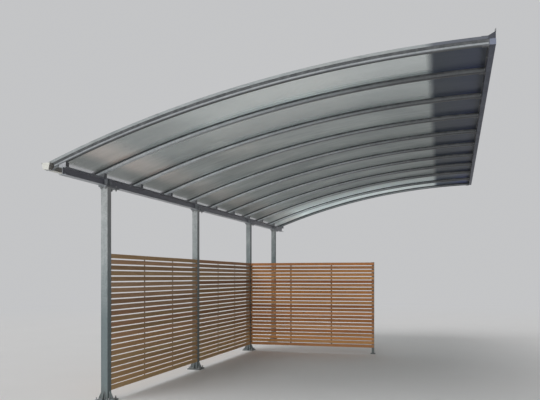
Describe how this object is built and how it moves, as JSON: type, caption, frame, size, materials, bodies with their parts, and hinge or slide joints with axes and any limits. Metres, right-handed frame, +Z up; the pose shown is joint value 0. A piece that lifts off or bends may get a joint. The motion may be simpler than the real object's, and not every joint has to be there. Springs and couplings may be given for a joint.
{
  "type": "carport",
  "caption": "Curved lean-to carport: steel posts and eave beam, bent tube ribs up to a wall beam, translucent roof sheets, gutter and slatted timber screens.",
  "frame": {"origin": "under the middle of the front post's base plate, at ground level", "axes": "+X from the post row to the house wall, +Y from the front to the back along the eave, +Z up"},
  "size_m": [5.0609, 10.16, 4.0468],
  "materials": {
    "galvanised_steel": "matte",
    "rib_steel": "matte",
    "aluminium_bar": "satin",
    "gasket_rubber": "matte",
    "roof_sheet": "satin",
    "gutter_metal": "satin",
    "flashing_metal": "satin",
    "larch": "matte"
  },
  "bodies": {
    "root": {"eave_beam": "galvanised_steel", "edge_bars": "aluminium_bar", "glazing_bars": "aluminium_bar", "gutter": "gutter_metal", "gutter_straps": "galvanised_steel", "post_1": "galvanised_steel", "post_2": "galvanised_steel", "post_3": "galvanised_steel", "post_4": "galvanised_steel", "post_base_1": "galvanised_steel", "post_base_2": "galvanised_steel", "post_base_3": "galvanised_steel", "post_base_4": "galvanised_steel", "post_head_1": "galvanised_steel", "post_head_2": "galvanised_steel", "post_head_3": "galvanised_steel", "post_head_4": "galvanised_steel", "return_post": "galvanised_steel", "return_screen": "larch", "return_uprights": "galvanised_steel", "rib_1": "rib_steel", "rib_10": "rib_steel", "rib_11": "rib_steel", "rib_2": "rib_steel", "rib_3": "rib_steel", "rib_4": "rib_steel", "rib_5": "rib_steel", "rib_6": "rib_steel", "rib_7": "rib_steel", "rib_8": "rib_steel", "rib_9": "rib_steel", "rib_cleats": "galvanised_steel", "rib_gaskets": "gasket_rubber", "rib_seats": "galvanised_steel", "roof_sheet_1": "roof_sheet", "roof_sheet_10": "roof_sheet", "roof_sheet_2": "roof_sheet", "roof_sheet_3": "roof_sheet", "roof_sheet_4": "roof_sheet", "roof_sheet_5": "roof_sheet", "roof_sheet_6": "roof_sheet", "roof_sheet_7": "roof_sheet", "roof_sheet_8": "roof_sheet", "roof_sheet_9": "roof_sheet", "side_screen_1": "larch", "side_screen_2": "larch", "side_uprights_1": "galvanised_steel", "side_uprights_2": "galvanised_steel", "wall_beam": "galvanised_steel", "wall_flashing": "flashing_metal"}
  },
  "joints": []
}
